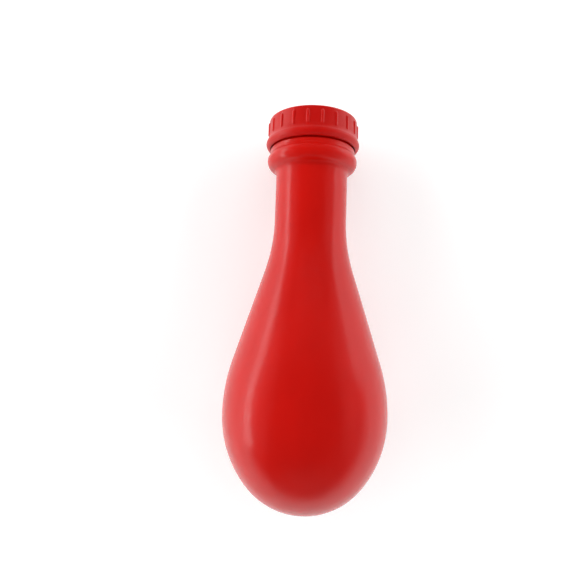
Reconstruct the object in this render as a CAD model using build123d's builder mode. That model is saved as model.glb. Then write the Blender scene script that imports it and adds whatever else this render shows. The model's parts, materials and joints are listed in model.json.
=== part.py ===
"""A one-litre urine bottle: a blow-moulded pear-shaped bottle with a screw cap and its sealing liner.

The bottle has a round base, so it lies on its side. Every piece is turned about one slanted axis that
starts at the base and leaves through the mouth. Heights are measured along that axis from the base.
The row frame has its origin on the floor under the middle of the lying bottle: +Y runs from the base
to the cap, +X to the right and +Z up. All lengths are in millimetres and all angles in degrees.
"""

import os
from math import asin, atan2, cos, degrees, hypot, radians, sin

from build123d import *

# Bulb, shoulder and neck of the bottle, all measured on the outer skin
bulb_radius = 53.5
base_step = 5.0  # how much smaller the ball-shaped bottom is than the bulb
base_depth = 63.0  # from the bottom of the bulb to its widest ring
shoulder_radius = 110.0  # round stretch above the widest ring
cone_angle = 17.5  # slope of the straight stretch between shoulder and flare
flare_radius = 120.0  # hollow stretch that runs out into the neck
neck_radius = 24.2
neck_length = 40.0  # from the end of the flare to the middle of the bead
wall = 1.8

# Hollow bead round the neck, which a thumb and finger hook behind
bead_round = 6.3
bead_foot_fillet = 3.2

# Shoulder ring and plain neck finish above the bead
ring_step = 1.6  # from the crest of the bead in to the shoulder ring
ring_height = 8.0  # from the middle of the bead to the top of the ring
ring_edge_chamfer = 0.8
finish_step = 1.5  # from the shoulder ring in to the neck finish
finish_height = 18.0  # from the top of the ring to the sealing rim
finish_wall = 2.2

# Screw cap
cap_gap = 0.6  # between the shoulder ring and the rim of the closed cap
cap_thread_room = 1.65  # radial space that the screw threads fill
cap_wall = 1.4
cap_top_thickness = 1.9
cap_draft = 0.35  # how much narrower the cap is at its top than above its rim
cap_edge_chamfer = 1.3
lip_stand_out = 1.45
lip_round = 3.6
lip_fillet = 2.5
rib_count = 20
rib_round = 1.0
rib_stand_out = 0.8
rib_top_margin = 3.0  # from the top of the cap to the end of the ribs
rib_bottom_margin = 4.3  # from the middle of the lip to the start of the ribs

# Sealing liner
liner_thickness = 1.0
liner_clearance = 0.4  # between the liner's edge and the cap's bore
liner_slip = 0.1  # between the liner and the cap's ceiling, so that the cap turns on it

# Radius and slope where the ball-shaped bottom runs into the side of the bulb without a corner
base_radius = bulb_radius - base_step
side_radius = (bulb_radius**2 - base_radius**2 + (base_depth - base_radius) ** 2) / (2 * base_step)
base_angle = 90 - degrees(atan2(base_depth - base_radius, side_radius - bulb_radius))

# Heights along the axis
shoulder_drop = shoulder_radius * (1 - cos(radians(cone_angle)))
flare_drop = flare_radius * (1 - cos(radians(cone_angle)))
cone_length = (bulb_radius - neck_radius - shoulder_drop - flare_drop) / sin(radians(cone_angle))
neck_start = (
    base_depth
    + (shoulder_radius + flare_radius) * sin(radians(cone_angle))
    + cone_length * cos(radians(cone_angle))
)
bead_height = neck_start + neck_length
ring_top = bead_height + ring_height
rim_height = ring_top + finish_height
cap_bottom = ring_top + cap_gap
liner_top = rim_height + liner_thickness
cap_ceiling = liner_top + liner_slip
cap_top = cap_ceiling + cap_top_thickness

# Radii of bead, ring, neck finish and mouth, one set in from the other
bead_radius = neck_radius + bead_round
ring_radius = bead_radius - ring_step
finish_radius = ring_radius - finish_step
mouth_radius = finish_radius - finish_wall

# Radii of the cap
cap_bore_radius = finish_radius + cap_thread_room
cap_radius = cap_bore_radius + cap_wall
cap_top_radius = cap_radius - cap_draft
lip_radius = cap_radius + lip_stand_out
lip_height = cap_bottom + lip_round  # of the middle of the rolled lip
rib_pitch = 360 / rib_count
rib_seat_radius = cap_radius + rib_stand_out - rib_round
rib_start = lip_height + rib_bottom_margin
rib_end = cap_top - rib_top_margin


def resting_tilt(radius, height, round_radius=0):
    """Slope of the floor line that touches the bulb's shoulder and one edge of the cap."""
    run = height - base_depth
    rise = bulb_radius - shoulder_radius - radius
    return degrees(atan2(rise, run) + asin((shoulder_radius - round_radius) / hypot(run, rise)))


# The bottle lies on the shoulder of its bulb and on whatever of the cap meets the floor first:
# the ends of two neighbouring ribs, the lip or the top edge
tilt = min(
    resting_tilt(rib_seat_radius * cos(radians(rib_pitch / 2)) + rib_round, rib_end),
    resting_tilt(lip_radius - lip_round, lip_height, lip_round),
    resting_tilt(cap_top_radius, cap_top - cap_edge_chamfer),
)
slope_cos = cos(radians(tilt))
slope_sin = sin(radians(tilt))

# Ends of the lying bottle along Y, seen from the bottom of the bulb, and its height there
base_end = base_radius * (slope_cos - 1)
cap_end = cap_top * slope_cos + (cap_top_radius - cap_edge_chamfer) * slope_sin
base_point = (
    0,
    -(base_end + cap_end) / 2,
    base_depth * slope_sin + (bulb_radius - shoulder_radius) * slope_cos + shoulder_radius,
)

# The axis that every piece is turned about, and the two planes that the sketches lie on
axis_direction = (0, slope_cos, -slope_sin)
bottle_axis = Axis(base_point, axis_direction)
cross_plane = Plane(origin=base_point, x_dir=(1, 0, 0), z_dir=axis_direction)
profile_plane = Plane(origin=base_point, x_dir=(1, 0, 0), z_dir=(0, slope_sin, slope_cos))


def skin_section(inset):
    """Half section of bulb, cone, flare and neck, moved in from the bottle's outer skin."""
    with BuildSketch() as section:
        with BuildLine():
            base = JernArc((0, inset), (1, 0), base_radius - inset, base_angle)
            side = JernArc(base @ 1, base % 1, side_radius - inset, 90 - base_angle)
            shoulder = JernArc(side @ 1, side % 1, shoulder_radius - inset, cone_angle)
            cone = PolarLine(shoulder @ 1, cone_length, direction=shoulder % 1)
            flare = JernArc(cone @ 1, cone % 1, flare_radius + inset, -cone_angle)
            Polyline(flare @ 1, (neck_radius - inset, bead_height), (0, bead_height), base @ 0)
        make_face()
    return section.sketch


def body_section():
    """Half section of the bottle's outside from its bottom to its bead, as if it were solid."""
    with BuildSketch() as section:
        add(skin_section(0))
        with Locations((neck_radius, bead_height)):
            Circle(bead_round)
        bead_foot = section.vertices().sort_by_distance((bead_radius, bead_height - bead_round))[0]
        fillet(bead_foot, bead_foot_fillet)
    return section.sketch


def hollow_section():
    """Half section of the bottle's inside: the skin moved in by the wall, with the bead's groove."""
    with BuildSketch() as section:
        add(skin_section(wall))
        with Locations((neck_radius, bead_height)):
            RegularPolygon(bead_round - wall, 8, rotation=22.5)
        add(disc_section(mouth_radius, bead_height, rim_height))
    return section.sketch


def disc_section(radius, bottom, top):
    """Half section of a plain disc, or of a round bore, about the axis."""
    with BuildSketch() as section:
        with Locations((0, bottom)):
            Rectangle(radius, top - bottom, align=(Align.MIN, Align.MIN))
    return section.sketch


def cap_section():
    """Half section of the cap's outside, with its rolled lip, as if the cap were solid."""
    with BuildSketch() as section:
        with BuildLine():
            skirt = Line((cap_radius, lip_height), (cap_top_radius, cap_top))
            Polyline(skirt @ 1, (0, cap_top), (0, lip_height), skirt @ 0)
        make_face()
        chamfer(section.vertices().sort_by_distance(skirt @ 1)[0], cap_edge_chamfer)
        with Locations((lip_radius - lip_round, lip_height)):
            Circle(lip_round)
        lip_root = section.vertices().sort_by_distance((lip_radius, lip_height + lip_round))[0]
        fillet(lip_root, lip_fillet)
    return section.sketch


# Bottle: one hollow blow-moulded shell, open at its mouth
with BuildPart() as bottle_body:
    with BuildSketch(profile_plane):
        add(body_section())
        add(disc_section(ring_radius, bead_height, ring_top))
        add(disc_section(finish_radius, ring_top, rim_height))
        add(hollow_section(), mode=Mode.SUBTRACT)
    revolve(axis=bottle_axis)
    ring_edges = bottle_body.edges().filter_by(GeomType.CIRCLE).group_by(bottle_axis)[-2]
    chamfer(ring_edges.sort_by(SortBy.LENGTH)[-1], ring_edge_chamfer)
bottle_body.part.label = "bottle_body"

# One grip rib: a round bar, half sunk into the cap's wall
with BuildPart() as grip_rib:
    Cylinder(rib_round, rib_end - rib_start, align=(Align.CENTER, Align.CENTER, Align.MIN))

# Screw cap: a ribbed skirt with a rolled lip, hollow below its top
with BuildPart(cross_plane) as screw_cap:
    with BuildSketch(profile_plane):
        add(cap_section())
        add(disc_section(cap_bore_radius, ring_top, cap_ceiling), mode=Mode.SUBTRACT)
    revolve(axis=bottle_axis)
    with Locations((0, 0, rib_start)):
        with PolarLocations(rib_seat_radius, rib_count, start_angle=rib_pitch / 2):
            add(grip_rib.part)
screw_cap.part.label = "screw_cap"

# Liner: a soft disc held between the cap's ceiling and the bottle's sealing rim
with BuildPart() as cap_liner:
    with BuildSketch(profile_plane):
        add(disc_section(cap_bore_radius - liner_clearance, rim_height, liner_top))
    revolve(axis=bottle_axis)
cap_liner.part.label = "cap_liner"

os.makedirs("parts", exist_ok=True)
export_step(bottle_body.part, "parts/bottle_body.step")
export_step(screw_cap.part, "parts/screw_cap.step")
export_step(cap_liner.part, "parts/cap_liner.step")
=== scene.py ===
"""Looks of the urine bottle: bottle shell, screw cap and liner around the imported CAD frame.

Every piece is turned about the bottle's own axis. The meshes are built upright, with lengths in
millimetres and heights from the bottom of the bulb. BOTTLE, which comes from the frame, then lays
them down. The floor, the lamps and the camera are placed in metres. Named angles and the angles of
outlines are in degrees, and the steps round the axis are in radians.
"""

import json
from math import acos, atan2, ceil, cos, degrees, hypot, pi, radians, sin, sqrt, tau

import bpy
from mathutils import Matrix, Vector, noise


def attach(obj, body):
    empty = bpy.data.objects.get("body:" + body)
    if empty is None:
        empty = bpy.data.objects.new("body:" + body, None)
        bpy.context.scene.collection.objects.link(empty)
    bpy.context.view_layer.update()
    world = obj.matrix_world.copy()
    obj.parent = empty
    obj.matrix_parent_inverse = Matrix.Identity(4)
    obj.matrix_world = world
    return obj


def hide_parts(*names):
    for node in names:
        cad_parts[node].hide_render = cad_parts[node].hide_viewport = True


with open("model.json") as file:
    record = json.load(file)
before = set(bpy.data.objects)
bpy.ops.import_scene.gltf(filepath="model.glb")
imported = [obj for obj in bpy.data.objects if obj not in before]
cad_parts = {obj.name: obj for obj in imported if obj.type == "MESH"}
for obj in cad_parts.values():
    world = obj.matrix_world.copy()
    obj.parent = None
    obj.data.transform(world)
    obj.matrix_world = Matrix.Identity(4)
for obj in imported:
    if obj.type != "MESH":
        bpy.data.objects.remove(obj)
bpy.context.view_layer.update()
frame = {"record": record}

MM = 0.001

# Bulb, shoulder and neck of the bottle, on the outer skin
BULB_RADIUS = 53.5
BASE_RADIUS = 48.5
BASE_DEPTH = 63.0
SHOULDER_RADIUS = 110.0
CONE_ANGLE = 17.5
FLARE_RADIUS = 120.0
NECK_RADIUS = 24.2
NECK_LENGTH = 40.0
WALL = 1.8

# Bead, shoulder ring and neck finish
BEAD_ROUND = 6.3
BEAD_FOOT_FILLET = 3.2
RING_RADIUS = 28.9
RING_HEIGHT = 8.0
RING_EDGE_ROUND = 0.8
FINISH_RADIUS = 27.4
FINISH_HEIGHT = 18.0
MOUTH_RADIUS = 25.2
CREASE_ROUND = 0.5  # softening of the moulded inner corners
RIM_ROUND = 0.6

# Screw cap
CAP_GAP = 0.6
CAP_BORE_RADIUS = 29.05
CAP_RADIUS = 30.45
CAP_TOP_THICKNESS = 1.9
CAP_DRAFT = 0.35
CAP_EDGE_ROUND = 1.3
CAP_EDGE_REACH = 4.0  # how far in from the wall the cap's top keeps the wall's fine mesh
LIP_RADIUS = 31.9
LIP_ROUND = 3.6
LIP_FILLET = 8.0  # longer than the solid's, because the wall flares gently into the lip

# Grip ribs of the cap
RIB_COUNT = 20
RIB_ROUND = 1.0
RIB_STAND_OUT = 0.6  # a little less than the solid's, for softly moulded ribs
RIB_BLEND = 0.5  # softening where a rib runs into the wall
RIB_BLEND_EXTRA = (hypot(RIB_STAND_OUT, RIB_BLEND) - RIB_STAND_OUT) / 2  # what it adds to a crest
RIB_TOP_MARGIN = 3.0
RIB_BOTTOM_MARGIN = 4.3
RIB_REACH = 2.0  # how far in from the wall the cap's outside is still shaped by the ribs

# Gate mark in the middle of the cap's top: a shallow dish round a low button
GATE_RADIUS = 3.6
GATE_FLOOR_RADIUS = 3.2
GATE_DEPTH = 0.3
BUTTON_FOOT_RADIUS = 1.3
BUTTON_RADIUS = 1.1
BUTTON_DEPTH = 0.05  # of the button's face below the cap's top
GATE_ROUNDS = [0.15, 0.1, 0.1, 0.08]  # from the dish's edge to the button's

# Liner, with the groove that the bottle's rim presses into it
LINER_RADIUS = 28.65
LINER_THICKNESS = 1.0
LINER_SLIP = 0.1
LINER_ROUNDS = [0.1, 0.1, 0.05, 0.25, 0.1]  # from the groove's inner edge to the liner's top edge
LINER_MARGIN = 0.04  # from the rim to the liner's face
GROOVE_DEPTH = 0.12  # from the rim to the groove's floor
GROOVE_HALF_WIDTH = 1.1
GROOVE_SLOPE = 0.5  # run of its inner side

# Screw thread between the neck finish and the cap
THREAD_PITCH = 4.2
THREAD_DEPTH = 1.2
THREAD_FOOT = 2.0  # width of the ridge at the wall
THREAD_CREST = 0.9
THREAD_EASE = 0.15  # softening of the crest's edges
THREAD_SHOULDER = 0.85  # share of the ridge's height at which that softening starts
THREAD_SINK = 0.25  # how deep the ridge reaches into the wall
THREAD_SPREAD = 0.1  # how much wider it is down there, on each side
THREAD_RUN_OUT = 25.0  # angle over which the ridge rises out of the wall
THREAD_TURNS = 1.75
THREAD_START = 2.9  # from the shoulder ring to the start of the bottle's thread
THREAD_ANGLE = 40.0  # where both threads start round the axis

# Moulding marks
SEAM_ANGLE = 10.0  # how far the mould's parting plane is turned out of the floor plane
SEAM_WIDTH = 0.7  # from the middle of a parting line to its foot
SEAM_HEIGHT = 0.14
PINCH_LENGTH = 17.0  # half length of the pinched seam across the bottom
PINCH_END = 5.0  # run over which its ends fade out
PINCH_WIDTH = 1.6  # run over which its hollow's sides rise
PINCH_SIDE = 1.6  # where those sides end, in such runs
PINCH_DEPTH = 0.4
PINCH_ANGLE = 25.0  # half angle of the round bottom that gets a finer mesh for it
RIDGE_WIDTH = PINCH_WIDTH / 3  # run over which the sides of the ridge in the hollow rise
RIDGE_SIDE = 1.3  # where those sides end, in such runs
RIDGE_HEIGHT = 0.75  # as a share of the hollow's depth
WAVE_DEPTH = 0.22  # how far the blown wall sinks in between its high spots
WAVE_LENGTH = 38.0
WAVE_STRETCH = 0.6  # how fast the waves change along the bottle, compared with round it
WAVE_MARGIN = 20.0  # from the bead down to where the waves have died out
WAVE_FADE = 40.0
WAVE_MIDDLE = 20.0  # radius out to which they grow from nothing at the middle of the bottom

# Longest steps of the meshes along the outlines
OUTSIDE_STEP = 2.0
INSIDE_STEP = 4.0
PINCH_STEP = 0.5
BEAD_STEP = 1.0
LIP_STEP = 0.5
LIP_FOOT_STEP = 0.4
RIB_STEP = 0.45
LINER_STEP = 1.5  # also for the cap's inside

# Widest steps along an arc and along a rounded corner, and steps round the axis
ARC_TURN = 5.0
CORNER_TURN = 18.0
BOTTLE_STEPS = 168
LINER_STEPS = 144
THREAD_STEPS = 72  # to a turn
SEAM_STEPS = (0.15, 0.35, 0.6, 0.9, 1.3, 1.8, 2.4, 3.1, 4, 5, 6.3, 8)  # angles from a parting line
SEAM_CLEARANCE = 1.1  # the even steps begin this many times as far out as the last of those
RIB_STEPS = (0, 0.25, 0.5, 0.7, 0.85, 0.95, 1.05, 1.2, 1.5, 2.0)  # from a rib's middle
VALLEY_STEPS = (0.62, 0.8)  # between two ribs, as shares of half the pitch

# Sizes that follow
SIDE_RADIUS = (BULB_RADIUS**2 - BASE_RADIUS**2 + (BASE_DEPTH - BASE_RADIUS) ** 2) / (
    2 * (BULB_RADIUS - BASE_RADIUS)
)
BASE_ANGLE = 90 - degrees(atan2(BASE_DEPTH - BASE_RADIUS, SIDE_RADIUS - BULB_RADIUS))
BENDS_RADIUS = SHOULDER_RADIUS + FLARE_RADIUS
CONE_SPREAD = BULB_RADIUS - NECK_RADIUS - BENDS_RADIUS * (1 - cos(radians(CONE_ANGLE)))
CONE_LENGTH = CONE_SPREAD / sin(radians(CONE_ANGLE))
NECK_START = (
    BASE_DEPTH + BENDS_RADIUS * sin(radians(CONE_ANGLE)) + CONE_LENGTH * cos(radians(CONE_ANGLE))
)
BEAD_HEIGHT = NECK_START + NECK_LENGTH
RING_TOP = BEAD_HEIGHT + RING_HEIGHT
RIM_HEIGHT = RING_TOP + FINISH_HEIGHT
CAP_BOTTOM = RING_TOP + CAP_GAP
LINER_TOP = RIM_HEIGHT + LINER_THICKNESS
CAP_CEILING = LINER_TOP + LINER_SLIP
CAP_TOP = CAP_CEILING + CAP_TOP_THICKNESS
LIP_HEIGHT = CAP_BOTTOM + LIP_ROUND
RIB_START = LIP_HEIGHT + RIB_BOTTOM_MARGIN
RIB_END = CAP_TOP - RIB_TOP_MARGIN

# Plastic of the bottle and the cap. The scale of a texture is its number of features to a metre
ROUGHNESS_SWING = 0.025
PLASTIC_GLOSS = 0.35  # specular level, below the usual 0.5 because the surface is a little waxy
PLASTIC_IOR = 1.5
PLASTIC_GLOW = 0.3  # share of the light that travels inside the wall
GLOW_DEPTH = 4 * MM
GLOW_SPREAD = (1, 0.15, 0.08)  # red light travels furthest
STREAK_SCALE = 70
STREAK_STRETCH = (1, 0.12, 1)  # draws the flow streaks out along the bottle
CLOUD_SCALE = 22
GRAIN_SCALE = 1600
GRAIN_DEPTH = 0.08 * MM
PEEL_SCALE = 160
PEEL_DEPTH = 0.12 * MM
PEEL_STRENGTH = 0.6

# Foam of the liner
FOAM_WHITE = (0.86, 0.86, 0.82)
# painted shade: the foam's colour in the grooves between its pebbles
FOAM_GROOVE_PAINTED_SHADE = (0.74, 0.74, 0.69)
FOAM_ROUGHNESS = (0.68, 0.82)
FOAM_GLOW = 0.2
FOAM_GLOW_DEPTH = 1 * MM
CELL_SCALE = 1400
CELL_DEPTH = 0.1 * MM
CELL_STRENGTH = 0.5

# Stage: floor, light and camera
FLOOR_SIZE = 6.0
FLOOR_DROP = 0.0001  # keeps the floor just below the bottle
FLOOR_EDGE = 0.128  # just past the cap's foot, where the floor starts to fall away
FLOOR_SLOPE = 0.2
FLOOR_BREAK = 0.012  # run over which the fall sets in
FLOOR_END = 0.21  # where the fall starts to level out again
FLOOR_LEVELLING = 0.1
FLOOR_STEP = 0.002
FLOOR_COLOUR = (0.8, 0.8, 0.8, 1)
FLOOR_LIFT = 0.36  # glow that makes the lit floor white to the camera, the gloss and transmission
FLOOR_FADE = (0.5, 1.6)  # distances between which that glow grows to full white
WORLD_LEVEL = 0.09  # strength of the light that comes from all round
WALL_TOP = 0.25  # slope at which the white wall that the gloss sees has faded into the dark above
LAMP_TARGET = Vector((0, 0, 0.04))
CAMERA_HEIGHT = 0.419
CAMERA_OFFSET = (-0.0136, 0.0129)  # from the middle of the lying bottle
CAMERA_ROLL = 2.0
CAMERA_LENS = 35.0  # focal length, in millimetres like the sensor's width
CAMERA_SENSOR = 36.0
CAMERA_NEAR = 0.01


def bottle_placement():
    """Matrix that lays an upright piece down on the bottle's slanted axis, read from the frame."""
    cap_top = next(m for m in frame["record"]["mounts"] if m["name"] == "cap_top")
    up = Vector(cap_top["axis"])
    side = Vector((1, 0, 0))
    bottom = Vector(cap_top["pos_m"]) - up * CAP_TOP * MM
    return Matrix.Translation(bottom) @ Matrix((side, up.cross(side), up)).transposed().to_4x4()


BOTTLE = bottle_placement()


# ---------------------------------------------------------------- outlines, as (radius, height)
def arc(centre, radius, start, end, longest=OUTSIDE_STEP, widest=ARC_TURN):
    """Points along a circular arc from one angle to another."""
    turn = end - start
    count = max(2, ceil(abs(turn) / widest), ceil(radius * radians(abs(turn)) / longest))
    angles = [radians(start + turn * i / count) for i in range(count + 1)]
    return [(centre[0] + radius * cos(a), centre[1] + radius * sin(a)) for a in angles]


def line(start, end, longest=OUTSIDE_STEP):
    """Points along a straight stretch, without its start."""
    count = max(1, ceil(hypot(end[0] - start[0], end[1] - start[1]) / longest))
    return [
        (start[0] + (end[0] - start[0]) * i / count, start[1] + (end[1] - start[1]) * i / count)
        for i in range(1, count + 1)
    ]


def rounded_path(corners, rounds, longest=OUTSIDE_STEP):
    """A run of straight stretches with rounded corners. Its first and last points have no round."""
    path = [corners[0]]
    for before, corner, after, radius in zip(corners, corners[1:], corners[2:], rounds):
        a, c, b = Vector(before), Vector(corner), Vector(after)
        inwards, outwards = (a - c).normalized(), (b - c).normalized()
        half = inwards.angle(outwards) / 2
        reach = radius / sin(half) * cos(half)
        middle = c + (inwards + outwards).normalized() * (radius / sin(half))
        start, end = c + inwards * reach - middle, c + outwards * reach - middle
        path += line(path[-1], tuple(start + middle), longest)
        first = atan2(start.y, start.x)
        turn = (atan2(end.y, end.x) - first + pi) % tau - pi
        path += arc(middle, radius, degrees(first), degrees(first + turn), longest, CORNER_TURN)[1:]
    return path + line(path[-1], corners[-1], longest)


def foot_of(wall_radius, ring_radius, ring_round, fillet):
    """Height and slope angle of the fillet that runs from a straight wall into a round ring."""
    across = wall_radius + fillet - ring_radius
    along = sqrt((ring_round + fillet) ** 2 - across**2)
    return along, degrees(atan2(along, across))


def skin(inset, pinch_step, longest):
    """Bulb, cone, flare, neck and lower half of the bead, moved in from the outer skin."""
    base_middle = (0, BASE_RADIUS)
    side_middle = (BULB_RADIUS - SIDE_RADIUS, BASE_DEPTH)
    shoulder_middle = (BULB_RADIUS - SHOULDER_RADIUS, BASE_DEPTH)
    flare_middle = (NECK_RADIUS + FLARE_RADIUS, NECK_START)
    foot, slope = foot_of(NECK_RADIUS, NECK_RADIUS, BEAD_ROUND, BEAD_FOOT_FILLET)
    foot_middle = (NECK_RADIUS + BEAD_FOOT_FILLET, BEAD_HEIGHT - foot)
    path = arc(base_middle, BASE_RADIUS - inset, -90, PINCH_ANGLE - 90, pinch_step)
    path += arc(base_middle, BASE_RADIUS - inset, PINCH_ANGLE - 90, BASE_ANGLE - 90, longest)[1:]
    path += arc(side_middle, SIDE_RADIUS - inset, BASE_ANGLE - 90, 0, longest)[1:]
    path += arc(shoulder_middle, SHOULDER_RADIUS - inset, 0, CONE_ANGLE, longest)[1:]
    flare = arc(flare_middle, FLARE_RADIUS + inset, 180 + CONE_ANGLE, 180, longest)
    path += line(path[-1], flare[0], longest) + flare[1:]
    bead_foot = arc(foot_middle, BEAD_FOOT_FILLET + inset, 180, 180 - slope, BEAD_STEP)
    path += line(path[-1], bead_foot[0], longest) + bead_foot[1:]
    return path + arc((NECK_RADIUS, BEAD_HEIGHT), BEAD_ROUND - inset, -slope, 0, BEAD_STEP)[1:]


def bead_top(bead_round, wall_radius):
    """Upper part of the bead, from its crest to where it meets a wall of that radius."""
    end = degrees(acos((wall_radius - NECK_RADIUS) / bead_round))
    return arc((NECK_RADIUS, BEAD_HEIGHT), bead_round, 0, end, BEAD_STEP)


def bottle_outline():
    """Outside from the bottom to the rim, then inside back down to the bottom."""
    outer_bead = bead_top(BEAD_ROUND, RING_RADIUS)
    inner_bead = bead_top(BEAD_ROUND - WALL, MOUTH_RADIUS)
    finish = rounded_path(
        [
            outer_bead[-1],
            (RING_RADIUS, RING_TOP),
            (FINISH_RADIUS, RING_TOP),
            (FINISH_RADIUS, RIM_HEIGHT),
            (MOUTH_RADIUS, RIM_HEIGHT),
            inner_bead[-1],
        ],
        [RING_EDGE_ROUND, CREASE_ROUND, RIM_ROUND, RIM_ROUND],
    )
    outside = skin(0, PINCH_STEP, OUTSIDE_STEP) + outer_bead[1:]
    inside = skin(WALL, INSIDE_STEP, INSIDE_STEP) + inner_bead[1:]
    return outside + finish[1:] + inside[-2::-1]


def cap_outline():
    """Inside from the middle of the ceiling to the rim, then round the lip and up to the top."""
    lip_middle = (LIP_RADIUS - LIP_ROUND, LIP_HEIGHT)
    foot, slope = foot_of(CAP_RADIUS, lip_middle[0], LIP_ROUND, LIP_FILLET)
    rim_angle = -degrees(acos((CAP_BORE_RADIUS - lip_middle[0]) / LIP_ROUND))
    lip = arc(lip_middle, LIP_ROUND, rim_angle, slope, LIP_STEP)
    foot_middle = (CAP_RADIUS + LIP_FILLET, LIP_HEIGHT + foot)
    lip_foot = arc(foot_middle, LIP_FILLET, 180 + slope, 180, LIP_FOOT_STEP)
    ceiling_edge = (CAP_BORE_RADIUS, CAP_CEILING)
    inside = rounded_path([(0, CAP_CEILING), ceiling_edge, lip[0]], [CREASE_ROUND], LINER_STEP)
    top_edge = (CAP_RADIUS - CAP_DRAFT, CAP_TOP)
    edge_end = (CAP_RADIUS - CAP_EDGE_REACH, CAP_TOP)
    wall = rounded_path([lip_foot[-1], top_edge, edge_end], [CAP_EDGE_ROUND], RIB_STEP)
    top = rounded_path(
        [
            edge_end,
            (GATE_RADIUS, CAP_TOP),
            (GATE_FLOOR_RADIUS, CAP_TOP - GATE_DEPTH),
            (BUTTON_FOOT_RADIUS, CAP_TOP - GATE_DEPTH),
            (BUTTON_RADIUS, CAP_TOP - BUTTON_DEPTH),
            (0, CAP_TOP - BUTTON_DEPTH),
        ],
        GATE_ROUNDS,
    )
    return inside + lip[1:] + lip_foot[1:] + wall[1:] + top[1:]


def liner_outline():
    """Face that the rim presses on, from its middle outwards, then back over the top."""
    face, groove = RIM_HEIGHT + LINER_MARGIN, RIM_HEIGHT + GROOVE_DEPTH
    press = (MOUTH_RADIUS + FINISH_RADIUS) / 2
    return rounded_path(
        [
            (0, face),
            (press - GROOVE_HALF_WIDTH - GROOVE_SLOPE, face),
            (press - GROOVE_HALF_WIDTH, groove),
            (press + GROOVE_HALF_WIDTH, groove),
            (LINER_RADIUS, face),
            (LINER_RADIUS, LINER_TOP),
            (0, LINER_TOP),
        ],
        LINER_ROUNDS,
        LINER_STEP,
    )


# ---------------------------------------------------------------- meshes
def put_in_scene(name, data):
    """Make an object of a mesh, a lamp or a camera."""
    made = bpy.data.objects.new(name, data)
    bpy.context.scene.collection.objects.link(made)
    return made


def add_mesh(name, points, faces, body, material):
    """Make a mesh object of points in millimetres on the upright bottle, and lay it down."""
    mesh = bpy.data.meshes.new(name)
    mesh.from_pydata([BOTTLE @ (Vector(p) * MM) for p in points], [], faces)
    mesh.validate()
    mesh.shade_smooth()
    mesh.materials.append(material)
    piece = put_in_scene(name, mesh)
    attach(piece, body)
    return piece


def unshaped(radius, height, angle, step):
    """Leave a point of the outline where it is, all the way round."""
    return radius, height


def turned_mesh(outline, angles, shaped=unshaped):
    """Points and faces of an outline turned about the axis. It starts and ends on the axis."""
    points = [(0, 0, shaped(0, outline[i][1], 0, i % len(outline))[1]) for i in (0, -1)]
    inner = outline[1:-1]
    count = len(angles)
    for step, (radius, height) in enumerate(inner, 1):
        for angle in angles:
            r, h = shaped(radius, height, angle, step)
            points.append((r * cos(angle), r * sin(angle), h))
    faces = []
    for i in range(count):
        j = (i + 1) % count
        faces.append((0, 2 + j, 2 + i))
        for row in range(len(inner) - 1):
            a, b = 2 + row * count, 2 + (row + 1) * count
            faces.append((a + i, a + j, b + j, b + i))
        last = 2 + (len(inner) - 1) * count
        faces.append((1, last + i, last + j))
    return points, faces


def even_angles(count):
    """Equal steps of a whole turn."""
    return [tau * i / count for i in range(count)]


def smoothstep(x):
    """Rise from 0 to 1 with level ends."""
    x = min(max(x, 0), 1)
    return x * x * (3 - 2 * x)


def seam_distance(angle):
    """Angle to the nearer of the two parting lines, in radians."""
    return abs((angle - radians(SEAM_ANGLE) + pi / 2) % pi - pi / 2)


def bottle_angles():
    """Even steps round the bottle, with finer ones across the two parting lines."""
    fine = [radians(a) for a in SEAM_STEPS]
    clear = fine[-1] * SEAM_CLEARANCE
    angles = [a for a in even_angles(BOTTLE_STEPS) if seam_distance(a) > clear]
    for seam in (radians(SEAM_ANGLE), radians(SEAM_ANGLE) + pi):
        angles += [seam] + [seam + f for f in fine] + [seam - f for f in fine]
    return sorted(a % tau for a in angles)


def blown_wall(outline):
    """How the blown bottle differs from a turned one: waves, parting lines and bottom pinch."""
    top = max(height for radius, height in outline)
    rim_step = max(i for i, (radius, height) in enumerate(outline) if height == top)
    plane = (cos(radians(SEAM_ANGLE)), sin(radians(SEAM_ANGLE)))

    def shaped(radius, height, angle, step):
        x, y = radius * cos(angle), radius * sin(angle)
        wave = noise.noise(Vector((x, y, height * WAVE_STRETCH)) / WAVE_LENGTH)
        blown = smoothstep((BEAD_HEIGHT - WAVE_MARGIN - height) / WAVE_FADE)
        sunk = blown * smoothstep(radius / WAVE_MIDDLE) * WAVE_DEPTH * (1 + wave) / 2
        if step < rim_step:
            if height < RING_TOP and radius > PINCH_LENGTH:
                sunk -= SEAM_HEIGHT * smoothstep(1 - seam_distance(angle) * radius / SEAM_WIDTH)
            if height < BASE_RADIUS / 2:
                along, off = abs(x * plane[0] + y * plane[1]), abs(y * plane[0] - x * plane[1])
                hollow = smoothstep((PINCH_LENGTH - along) / PINCH_END)
                hollow *= smoothstep(PINCH_SIDE - off / PINCH_WIDTH)
                ridge = smoothstep(RIDGE_SIDE - off / RIDGE_WIDTH)
                height += PINCH_DEPTH * hollow * (1 - RIDGE_HEIGHT * ridge)
        return radius - sunk, height

    return shaped


def cap_angles():
    """Steps round the cap that follow each rib's round side."""
    half = pi / RIB_COUNT
    offsets = [d / CAP_RADIUS for d in RIB_STEPS] + [half * f for f in VALLEY_STEPS]
    around = sorted({-o for o in offsets} | set(offsets) | {half})
    return sorted((half + rib + o) % tau for rib in even_angles(RIB_COUNT) for o in around)


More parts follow.
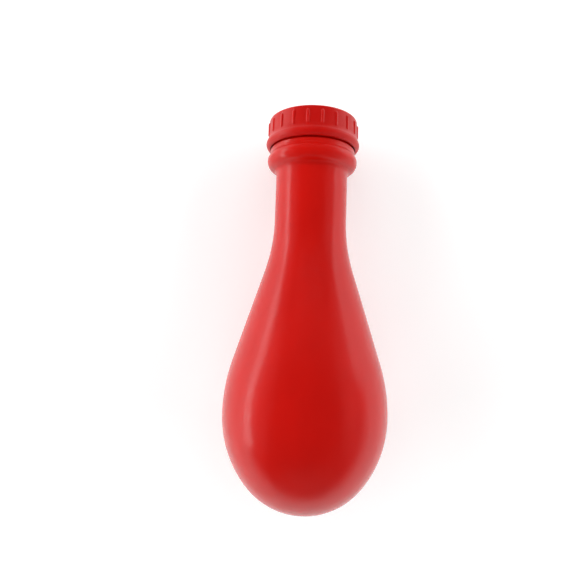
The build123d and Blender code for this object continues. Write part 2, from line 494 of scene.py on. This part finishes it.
def ribbed_wall(outline):
    """Half-round ribs with ball ends on the outer wall of the cap, blended into it."""
    wall_middle = (CAP_BORE_RADIUS + CAP_RADIUS) / 2
    outer_step = min(i for i, (radius, height) in enumerate(outline) if radius > wall_middle)
    seat = CAP_RADIUS + RIB_STAND_OUT - RIB_ROUND
    pitch = tau / RIB_COUNT

    def shaped(radius, height, angle, step):
        if step < outer_step or height < LIP_HEIGHT or radius < CAP_RADIUS - RIB_REACH:
            return radius, height
        across = ((angle % pitch) - pitch / 2) * CAP_RADIUS
        past_end = max(0, height - (RIB_END - RIB_ROUND), RIB_START + RIB_ROUND - height)
        left = RIB_ROUND**2 - across**2 - past_end**2
        stand = seat + sqrt(max(left, 0)) - radius - max(0, -left)
        grown = (stand + sqrt(stand**2 + RIB_BLEND**2)) / 2
        return radius + grown - RIB_BLEND_EXTRA, height

    return shaped


def thread(name, body, material, wall_radius, depth, start):
    """A tapered screw ridge on a wall. A negative depth points inwards, as in the cap."""
    steps = ceil(THREAD_TURNS * THREAD_STEPS)
    whole_turn = THREAD_TURNS * 360
    sink = -THREAD_SINK if depth > 0 else THREAD_SINK
    points, faces = [], []
    for i in range(steps + 1):
        turn = whole_turn * i / steps
        rise = smoothstep(min(turn, whole_turn - turn) / THREAD_RUN_OUT)
        crest = wall_radius + depth * rise + (1 - rise) * sink / 2
        upper_half = [
            (crest, THREAD_CREST / 2 - THREAD_EASE),
            (wall_radius + (crest - wall_radius) * THREAD_SHOULDER, THREAD_CREST / 2 + THREAD_EASE),
            (wall_radius, THREAD_FOOT / 2),
            (wall_radius + sink, THREAD_FOOT / 2 + THREAD_SPREAD),
        ]
        section = [(radius, -offset) for radius, offset in upper_half[::-1]] + upper_half
        angle, height = radians(THREAD_ANGLE + turn), start + THREAD_PITCH * turn / 360
        for radius, offset in section:
            points.append((radius * cos(angle), radius * sin(angle), height + offset))
    size = len(section)
    for i in range(steps):
        for k in range(size):
            a, b = i * size + k, i * size + (k + 1) % size
            faces.append((a, b, b + size, a + size) if depth < 0 else (a, a + size, b + size, b))
    first, last = list(range(size)), list(range(steps * size, steps * size + size))
    faces += [first[::-1], last] if depth < 0 else [first, last[::-1]]
    return add_mesh(name, points, faces, body, material)


# ---------------------------------------------------------------- materials
def fill(tree, made, sockets):
    """Set a node's sockets, by name or number, to plain values, or link them to given outputs."""
    for key, value in sockets.items():
        if isinstance(value, bpy.types.NodeSocket):
            tree.links.new(value, made.inputs[key])
        else:
            made.inputs[key].default_value = value


def node(tree, kind, sockets=None, **settings):
    """Add a shader node with its settings, and fill its sockets."""
    made = tree.nodes.new(kind)
    for key, value in settings.items():
        setattr(made, key, value)
    fill(tree, made, sockets or {})
    return made


def math_result(tree, operation, *values, clamp=False):
    """Output of a math node over numbers or other outputs."""
    numbered = dict(enumerate(values))
    return node(tree, "ShaderNodeMath", numbered, operation=operation, use_clamp=clamp).outputs[0]


def mapped(tree, value, start, end, low, high, **settings):
    """Output that goes from low to high while the value goes from start to end."""
    sockets = {"Value": value, "From Min": start, "From Max": end, "To Min": low, "To Max": high}
    return node(tree, "ShaderNodeMapRange", sockets, **settings).outputs["Result"]


def noise_texture(tree, place, scale, detail, roughness=0.5):
    """Output of a noise that goes from 0 to 1 over the given place."""
    sockets = {"Vector": place, "Scale": scale, "Detail": detail, "Roughness": roughness}
    return node(tree, "ShaderNodeTexNoise", sockets).outputs["Fac"]


def colour_ramp(tree, value, stops, interpolation="LINEAR"):
    """Colour between two stops, each a position and a colour."""
    made = node(tree, "ShaderNodeValToRGB", {"Fac": value})
    made.color_ramp.interpolation = interpolation
    for element, (position, colour) in zip(made.color_ramp.elements, stops):
        element.position = position
        element.color = (*colour, 1)
    return made.outputs["Color"]


def background_rays(tree):
    """Outputs that are 1 for camera rays, and for rays that gloss or transmission sends out."""
    seen = node(tree, "ShaderNodeLightPath").outputs
    shiny = math_result(tree, "ADD", seen["Is Glossy Ray"], seen["Is Transmission Ray"])
    return seen["Is Camera Ray"], shiny


def new_material(name):
    """A material with nodes, and its node tree."""
    material = bpy.data.materials.new(name)
    material.use_nodes = True
    return material, material.node_tree


def moulded_plastic(name, light, dark, roughness, grain):
    """Coloured plastic with a fine mould grain, faint flow streaks and a little light inside it."""
    material, tree = new_material(name)
    place = node(tree, "ShaderNodeTexCoord").outputs["Object"]
    streaks = node(tree, "ShaderNodeMapping", {"Vector": place, "Scale": STREAK_STRETCH})
    along = streaks.outputs["Vector"]
    flow = noise_texture(tree, along, STREAK_SCALE, detail=1.5, roughness=0.4)
    cloud = noise_texture(tree, place, CLOUD_SCALE, detail=2)
    half_cloud = math_result(tree, "MULTIPLY", cloud, 0.5)
    shade = math_result(tree, "MULTIPLY_ADD", flow, 0.5, half_cloud)
    smoothest, roughest = roughness - ROUGHNESS_SWING, roughness + ROUGHNESS_SWING
    fine = {
        "Height": noise_texture(tree, place, GRAIN_SCALE, detail=2),
        "Strength": grain,
        "Distance": GRAIN_DEPTH,
    }
    peel = {
        "Height": noise_texture(tree, place, PEEL_SCALE, detail=1),
        "Strength": PEEL_STRENGTH,
        "Distance": PEEL_DEPTH,
        "Normal": node(tree, "ShaderNodeBump", fine).outputs["Normal"],
    }
    surface = {
        "Base Color": colour_ramp(tree, shade, [(0.25, dark), (0.75, light)], "EASE"),
        "Roughness": mapped(tree, flow, 0, 1, smoothest, roughest),
        "Normal": node(tree, "ShaderNodeBump", peel).outputs["Normal"],
        "Subsurface Weight": PLASTIC_GLOW,
        "Subsurface Radius": GLOW_SPREAD,
        "Subsurface Scale": GLOW_DEPTH,
        "IOR": PLASTIC_IOR,
        "Specular IOR Level": PLASTIC_GLOSS,
    }
    fill(tree, tree.nodes["Principled BSDF"], surface)
    return material


def foam(name):
    """Closed-cell white foam of the liner, with a fine pebbled skin and painted shade that darkens
    the grooves between the pebbles.
    """
    material, tree = new_material(name)
    place = node(tree, "ShaderNodeTexCoord").outputs["Object"]
    cells = node(tree, "ShaderNodeTexVoronoi", {"Vector": place, "Scale": CELL_SCALE})
    off_middle = cells.outputs["Distance"]
    pebbles = {"Height": off_middle, "Strength": CELL_STRENGTH, "Distance": CELL_DEPTH}
    surface = {
        # Painted shade: the colour goes from white on the pebbles' tops to darker in the grooves
        # between them
        "Base Color": colour_ramp(tree, off_middle, [(0, FOAM_WHITE), (1, FOAM_GROOVE_PAINTED_SHADE)]),
        "Roughness": mapped(tree, off_middle, 0, 1, *FOAM_ROUGHNESS),
        "Normal": node(tree, "ShaderNodeBump", pebbles, invert=True).outputs["Normal"],
        "Subsurface Weight": FOAM_GLOW,
        "Subsurface Scale": FOAM_GLOW_DEPTH,
    }
    fill(tree, tree.nodes["Principled BSDF"], surface)
    return material


# ---------------------------------------------------------------- pieces
bottle_red = moulded_plastic(
    "bottle_red",
    light=(0.61, 0.006, 0.003),
    dark=(0.55, 0.005, 0.0025),
    roughness=0.235,
    grain=0.5,
)
cap_red = moulded_plastic(
    "cap_red",
    light=(0.56, 0.005, 0.003),
    dark=(0.51, 0.004, 0.0025),
    roughness=0.36,
    grain=0.8,
)
liner_white = foam("liner_white")


def make_bottle():
    outline = bottle_outline()
    points, faces = turned_mesh(outline, bottle_angles(), blown_wall(outline))
    shell = add_mesh("bottle_shell", points, faces, "bottle", bottle_red)
    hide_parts("bottle_body")
    start = RING_TOP + THREAD_START
    ridge = thread("bottle_thread", "bottle", bottle_red, FINISH_RADIUS, THREAD_DEPTH, start)


def make_cap():
    outline = cap_outline()
    points, faces = turned_mesh(outline, cap_angles(), ribbed_wall(outline))
    shell = add_mesh("cap_shell", points, faces, "cap", cap_red)
    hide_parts("screw_cap")
    # Half a pitch up, so that the cap's ridge runs between the turns of the bottle's
    start = RING_TOP + THREAD_START + THREAD_PITCH / 2
    ridge = thread("cap_thread", "cap", cap_red, CAP_BORE_RADIUS, -THREAD_DEPTH, start)


def make_liner():
    points, faces = turned_mesh(liner_outline(), even_angles(LINER_STEPS))
    disc = add_mesh("liner_disc", points, faces, "liner", liner_white)
    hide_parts("cap_liner")


make_bottle()
make_cap()
make_liner()


# ---------------------------------------------------------------- floor, light and camera
def eased(distance, run):
    """A distance that sets in gently, from a standstill to its full rate over the run."""
    return max(distance, 0) ** 2 / (2 * run) if distance < run else distance - run / 2


def floor_height(y):
    """Level under the bottle. It falls away past the cap, which is pulled off downhill."""
    fall = eased(y - FLOOR_EDGE, FLOOR_BREAK) - eased(y - FLOOR_END, FLOOR_LEVELLING)
    return -FLOOR_DROP - FLOOR_SLOPE * fall


def floor_white():
    """Pale matt floor with a glow that the camera, the gloss and transmission see."""
    material, tree = new_material("floor_white")
    tree.nodes.remove(tree.nodes["Principled BSDF"])
    matte = node(tree, "ShaderNodeBsdfDiffuse", {"Color": FLOOR_COLOUR})
    place = node(tree, "ShaderNodeTexCoord").outputs["Object"]
    away = node(tree, "ShaderNodeVectorMath", {0: place}, operation="LENGTH").outputs["Value"]
    camera, shiny = background_rays(tree)
    seen = math_result(tree, "ADD", camera, shiny, clamp=True)
    glow = math_result(tree, "MULTIPLY", seen, mapped(tree, away, *FLOOR_FADE, FLOOR_LIFT, 1))
    lift = node(tree, "ShaderNodeEmission", {"Strength": glow})
    both = node(tree, "ShaderNodeAddShader", {0: matte.outputs[0], 1: lift.outputs[0]})
    fill(tree, tree.nodes["Material Output"], {"Surface": both.outputs[0]})
    return material


def make_floor():
    mesh = bpy.data.meshes.new("floor")
    half = FLOOR_SIZE / 2
    run = FLOOR_END + FLOOR_LEVELLING - FLOOR_EDGE
    steps = ceil(run / FLOOR_STEP)
    rows = [-half, *(FLOOR_EDGE + run * i / steps for i in range(steps + 1)), half]
    points = [(x, y, floor_height(y)) for y in rows for x in (-half, half)]
    mesh.from_pydata(points, [], [(i, i + 1, i + 3, i + 2) for i in range(0, len(points) - 2, 2)])
    mesh.shade_smooth()
    mesh.materials.append(floor_white())
    floor = put_in_scene("floor", mesh)


def softbox(name, place, size, power, mirrored=False):
    """A rectangular lamp that faces the bottle. Only a mirrored one shows in the gloss."""
    lamp = bpy.data.lights.new(name, "AREA")
    lamp.shape = "RECTANGLE"
    lamp.size, lamp.size_y = size
    lamp.energy = power
    holder = put_in_scene(name, lamp)
    holder.location = place
    holder.rotation_euler = (LAMP_TARGET - Vector(place)).to_track_quat("-Z", "Y").to_euler()
    holder.visible_glossy = mirrored
    holder.visible_camera = False


def make_lamps():
    softbox("left_softbox", (-1.1, 0.1, 0.6), (2.0, 0.6), 13)
    softbox("right_softbox", (1.1, 0.1, 0.6), (2.0, 0.6), 12)
    softbox("front_softbox", (0.1, -1.3, 0.7), (1.6, 0.6), 7)
    softbox("back_softbox", (0, 1.2, 0.9), (1.4, 0.6), 8.5)
    softbox("left_strip", (-1.2, 0.1, 0.22), (1.6, 0.16), 4.6, mirrored=True)
    softbox("right_strip", (1.2, 0.65, 0.22), (0.7, 0.16), 0.7, mirrored=True)


def make_world():
    """Dim light from all sides. The camera sees it white, and the gloss sees a low white wall."""
    world = bpy.data.worlds.new("world")
    world.use_nodes = True
    tree = world.node_tree
    way = node(tree, "ShaderNodeTexCoord").outputs["Generated"]
    rise = node(tree, "ShaderNodeSeparateXYZ", {0: way}).outputs["Z"]
    wall = mapped(tree, rise, 0, WALL_TOP, 1, 0, interpolation_type="SMOOTHSTEP")
    camera, shiny = background_rays(tree)
    seen = math_result(tree, "MULTIPLY_ADD", shiny, wall, camera, clamp=True)
    level = mapped(tree, seen, 0, 1, WORLD_LEVEL, 1)
    fill(tree, tree.nodes["Background"], {"Color": (1, 1, 1, 1), "Strength": level})
    bpy.context.scene.world = world


def make_camera():
    camera = bpy.data.cameras.new("camera")
    camera.lens = CAMERA_LENS
    camera.sensor_width = CAMERA_SENSOR
    camera.clip_start = CAMERA_NEAR
    holder = put_in_scene("camera", camera)
    holder.location = (*CAMERA_OFFSET, CAMERA_HEIGHT)
    holder.rotation_euler = (0, 0, radians(CAMERA_ROLL))
    bpy.context.scene.camera = holder


make_floor()
make_lamps()
make_world()
make_camera()
bpy.context.scene.view_settings.view_transform = "Standard"
